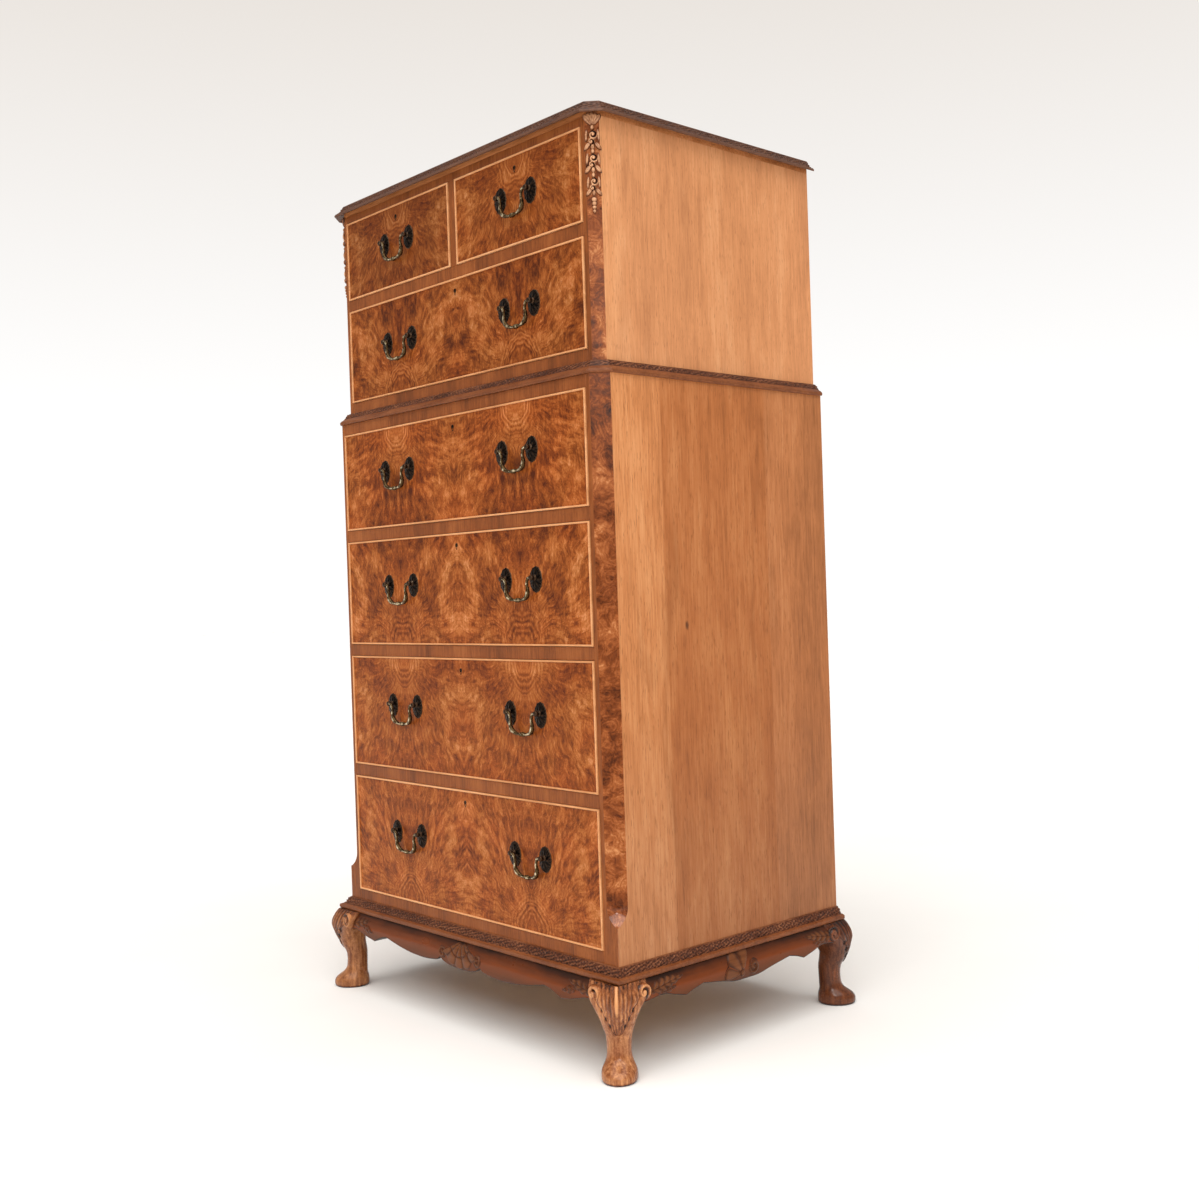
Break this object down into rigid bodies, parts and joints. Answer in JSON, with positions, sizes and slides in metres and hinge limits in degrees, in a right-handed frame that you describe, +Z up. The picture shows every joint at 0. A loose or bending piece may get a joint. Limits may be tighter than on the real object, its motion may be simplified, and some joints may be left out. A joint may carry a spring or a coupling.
{
  "type": "chest on stand",
  "caption": "Tall walnut chest-on-chest: two short over long drawers with swan-neck bails, canted corners, carved mouldings and short cabriole legs.",
  "frame": {"origin": "on the floor, midway between the four feet", "axes": "+Z up; the drawers face -Y; +X to the right of a person facing them"},
  "size_m": [0.824, 0.59, 1.498],
  "materials": {
    "walnut_burr": "satin, book-matched burr veneer",
    "walnut_bead": "satin, pale cross-banded bead",
    "walnut_frame": "satin, cross-grained and burr veneer",
    "walnut_side": "satin, straight-grained veneer",
    "walnut_carved": "satin, dark carved",
    "walnut_solid": "satin, stained and rubbed on the edges",
    "walnut_top": "satin",
    "oak_lining": "matt, unpolished",
    "oak_back": "matt, unpolished",
    "bronze": "dark patinated, worn on the high places",
    "brass": "dull, worn bright on the grip"
  },
  "bodies": {
    "case": {"leg_front_left": "walnut_solid", "leg_front_right": "walnut_solid", "leg_rear_left": "walnut_solid", "leg_rear_right": "walnut_solid", "apron_front": "walnut_solid", "apron_left": "walnut_solid", "apron_right": "walnut_solid", "base_frame": "oak_lining", "base_moulding": "walnut_carved", "lower_sides": "walnut_side", "lower_front_frame": "walnut_frame", "lower_carcase": "oak_lining", "upper_sides": "walnut_side", "upper_front_frame": "walnut_frame", "upper_carcase": "oak_lining", "waist_moulding": "walnut_carved", "back_panels": "oak_back", "top_board": "walnut_top", "cornice_moulding": "walnut_carved", "corner_pendants": "walnut_carved"},
    "drawer_top_left": {"drawer_top_left_front": "walnut_burr", "drawer_top_left_cockbead": "walnut_bead", "drawer_top_left_box": "oak_lining", "drawer_top_left_fittings": "bronze"},
    "bail_top_left": {"bail_top_left": "brass"},
    "drawer_top_right": {"drawer_top_right_front": "walnut_burr", "drawer_top_right_cockbead": "walnut_bead", "drawer_top_right_box": "oak_lining", "drawer_top_right_fittings": "bronze"},
    "bail_top_right": {"bail_top_right": "brass"},
    "drawer_second": {"drawer_second_front": "walnut_burr", "drawer_second_cockbead": "walnut_bead", "drawer_second_box": "oak_lining", "drawer_second_fittings": "bronze"},
    "bail_second_left": {"bail_second_left": "brass"},
    "bail_second_right": {"bail_second_right": "brass"},
    "drawer_third": {"drawer_third_front": "walnut_burr", "drawer_third_cockbead": "walnut_bead", "drawer_third_box": "oak_lining", "drawer_third_fittings": "bronze"},
    "bail_third_left": {"bail_third_left": "brass"},
    "bail_third_right": {"bail_third_right": "brass"},
    "drawer_fourth": {"drawer_fourth_front": "walnut_burr", "drawer_fourth_cockbead": "walnut_bead", "drawer_fourth_box": "oak_lining", "drawer_fourth_fittings": "bronze"},
    "bail_fourth_left": {"bail_fourth_left": "brass"},
    "bail_fourth_right": {"bail_fourth_right": "brass"},
    "drawer_fifth": {"drawer_fifth_front": "walnut_burr", "drawer_fifth_cockbead": "walnut_bead", "drawer_fifth_box": "oak_lining", "drawer_fifth_fittings": "bronze"},
    "bail_fifth_left": {"bail_fifth_left": "brass"},
    "bail_fifth_right": {"bail_fifth_right": "brass"},
    "drawer_sixth": {"drawer_sixth_front": "walnut_burr", "drawer_sixth_cockbead": "walnut_bead", "drawer_sixth_box": "oak_lining", "drawer_sixth_fittings": "bronze"},
    "bail_sixth_left": {"bail_sixth_left": "brass"},
    "bail_sixth_right": {"bail_sixth_right": "brass"}
  },
  "joints": [
    {"name": "drawer_top_left_slide", "type": "slide", "parent": "case", "child": "drawer_top_left", "axis": [0, -1, 0], "range_m": [0, 0.365]},
    {"name": "bail_top_left_swing", "type": "hinge", "parent": "drawer_top_left", "child": "bail_top_left", "pos_m": [-0.174, -0.2535, 1.398], "axis": [-1, 0, 0], "range_deg": [-5, 100]},
    {"name": "drawer_top_right_slide", "type": "slide", "parent": "case", "child": "drawer_top_right", "axis": [0, -1, 0], "range_m": [0, 0.365]},
    {"name": "bail_top_right_swing", "type": "hinge", "parent": "drawer_top_right", "child": "bail_top_right", "pos_m": [0.174, -0.2535, 1.398], "axis": [-1, 0, 0], "range_deg": [-5, 100]},
    {"name": "drawer_second_slide", "type": "slide", "parent": "case", "child": "drawer_second", "axis": [0, -1, 0], "range_m": [0, 0.365]},
    {"name": "bail_second_left_swing", "type": "hinge", "parent": "drawer_second", "child": "bail_second_left", "pos_m": [-0.174, -0.2535, 1.2165], "axis": [-1, 0, 0], "range_deg": [-5, 100]},
    {"name": "bail_second_right_swing", "type": "hinge", "parent": "drawer_second", "child": "bail_second_right", "pos_m": [0.174, -0.2535, 1.2165], "axis": [-1, 0, 0], "range_deg": [-5, 100]},
    {"name": "drawer_third_slide", "type": "slide", "parent": "case", "child": "drawer_third", "axis": [0, -1, 0], "range_m": [0, 0.38]},
    {"name": "bail_third_left_swing", "type": "hinge", "parent": "drawer_third", "child": "bail_third_left", "pos_m": [-0.174, -0.2685, 0.9795], "axis": [-1, 0, 0], "range_deg": [-5, 100]},
    {"name": "bail_third_right_swing", "type": "hinge", "parent": "drawer_third", "child": "bail_third_right", "pos_m": [0.174, -0.2685, 0.9795], "axis": [-1, 0, 0], "range_deg": [-5, 100]},
    {"name": "drawer_fourth_slide", "type": "slide", "parent": "case", "child": "drawer_fourth", "axis": [0, -1, 0], "range_m": [0, 0.38]},
    {"name": "bail_fourth_left_swing", "type": "hinge", "parent": "drawer_fourth", "child": "bail_fourth_left", "pos_m": [-0.174, -0.2685, 0.7695], "axis": [-1, 0, 0], "range_deg": [-5, 100]},
    {"name": "bail_fourth_right_swing", "type": "hinge", "parent": "drawer_fourth", "child": "bail_fourth_right", "pos_m": [0.174, -0.2685, 0.7695], "axis": [-1, 0, 0], "range_deg": [-5, 100]},
    {"name": "drawer_fifth_slide", "type": "slide", "parent": "case", "child": "drawer_fifth", "axis": [0, -1, 0], "range_m": [0, 0.38]},
    {"name": "bail_fifth_left_swing", "type": "hinge", "parent": "drawer_fifth", "child": "bail_fifth_left", "pos_m": [-0.174, -0.2685, 0.5505], "axis": [-1, 0, 0], "range_deg": [-5, 100]},
    {"name": "bail_fifth_right_swing", "type": "hinge", "parent": "drawer_fifth", "child": "bail_fifth_right", "pos_m": [0.174, -0.2685, 0.5505], "axis": [-1, 0, 0], "range_deg": [-5, 100]},
    {"name": "drawer_sixth_slide", "type": "slide", "parent": "case", "child": "drawer_sixth", "axis": [0, -1, 0], "range_m": [0, 0.38]},
    {"name": "bail_sixth_left_swing", "type": "hinge", "parent": "drawer_sixth", "child": "bail_sixth_left", "pos_m": [-0.174, -0.2685, 0.317], "axis": [-1, 0, 0], "range_deg": [-5, 100]},
    {"name": "bail_sixth_right_swing", "type": "hinge", "parent": "drawer_sixth", "child": "bail_sixth_right", "pos_m": [0.174, -0.2685, 0.317], "axis": [-1, 0, 0], "range_deg": [-5, 100]}
  ]
}
